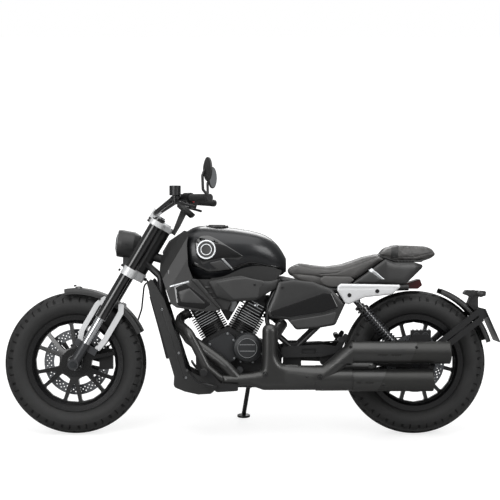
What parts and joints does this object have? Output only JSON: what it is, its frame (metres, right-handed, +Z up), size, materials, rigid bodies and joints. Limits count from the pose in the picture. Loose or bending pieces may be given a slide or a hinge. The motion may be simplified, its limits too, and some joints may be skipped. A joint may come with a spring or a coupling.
{
  "type": "cruiser motorcycle",
  "caption": "Low cruiser motorcycle leaned on its side stand, with a finned V-twin, belt drive, stacked silencers, bar-end mirrors and a turning fork and wheels.",
  "frame": {"origin": "middle of the whole machine's box, at floor level", "axes": "+X towards the rear, +Y away from the silencers towards the side stand, +Z up from the floor; the machine leans 9 degrees towards +Y"},
  "size_m": [2.2316, 0.9468, 1.2825],
  "materials": {
    "belt_rubber": "matt",
    "black_metal": "satin",
    "black_plastic": "matt",
    "bright_steel": "polished",
    "clamp_silver": "satin",
    "disc_steel": "brushed",
    "engine_black": "satin",
    "engine_grey": "satin",
    "exhaust_black": "matt",
    "fork_black": "satin",
    "gloss_black": "gloss",
    "grip_rubber": "matt",
    "guard_black": "satin",
    "lens": "clear",
    "red_lens": "gloss",
    "seat_leather": "satin",
    "tank_paint": "satin",
    "tyre": "matt"
  },
  "bodies": {
    "front_wheel": {"tyre_front": "tyre", "rim_front": "gloss_black", "disc_front": "disc_steel"},
    "rear_wheel": {"tyre_rear": "tyre", "rim_rear": "gloss_black", "disc_rear": "disc_steel", "pulley_rear": "black_metal"},
    "steering": {"lower_clamp": "clamp_silver", "upper_clamp": "clamp_silver", "fork_tubes": "fork_black", "fork_sliders": "fork_black", "front_axle": "bright_steel", "front_mudguard": "guard_black", "mudguard_stays": "clamp_silver", "headlamp_shell": "black_metal", "headlamp_lens": "lens", "handlebar": "fork_black", "grips": "grip_rubber", "switchgear": "black_plastic", "instrument": "black_plastic", "mirrors": "black_plastic", "front_caliper": "black_metal", "brake_hose": "grip_rubber"},
    "side_stand": {"side_stand": "black_metal"},
    "chassis": {"belt": "belt_rubber", "collector": "exhaust_black", "crankcase": "engine_black", "cylinder_front": "engine_black", "cylinder_rear": "engine_black", "engine_covers": "engine_grey", "footrests": "black_metal", "frame": "black_metal", "frame_cradle": "black_metal", "frame_plates": "clamp_silver", "headers": "exhaust_black", "intake": "black_plastic", "mid_covers": "black_plastic", "number_plate": "black_plastic", "passenger_footrests": "black_metal", "plate_carrier": "black_metal", "radiator": "black_metal", "radiator_covers": "black_plastic", "rear_axle": "bright_steel", "rear_caliper": "black_metal", "rear_indicators": "black_plastic", "rear_mudguard": "guard_black", "seat_pillion": "seat_leather", "seat_rider": "seat_leather", "shock_absorbers": "black_metal", "side_panels": "tank_paint", "silencer_shields": "exhaust_black", "silencers": "exhaust_black", "swingarm": "black_metal", "tail_cover": "tank_paint", "tail_lamp": "red_lens", "tank": "tank_paint", "tank_shrouds": "black_plastic"}
  },
  "joints": [
    {"name": "steering_turn", "type": "hinge", "parent": "chassis", "child": "steering", "pos_m": [-0.45081, -0.04904, 0.81571], "axis": [0.5075, 0.1348, 0.851], "range_deg": [-33, 33]},
    {"name": "front_wheel_spin", "type": "hinge", "parent": "steering", "child": "front_wheel", "pos_m": [-0.79586, -0.12804, 0.31692], "axis": [0, 0.9877, -0.1564], "continuous": true},
    {"name": "rear_wheel_spin", "type": "hinge", "parent": "chassis", "child": "rear_wheel", "pos_m": [0.73619, -0.12755, 0.32001], "axis": [0, 0.9877, -0.1564], "continuous": true},
    {"name": "side_stand_fold", "type": "hinge", "parent": "chassis", "child": "side_stand", "pos_m": [-0.00581, -0.01665, 0.2162], "axis": [0, -0.9816, -0.1908], "range_deg": [0, 90]}
  ]
}
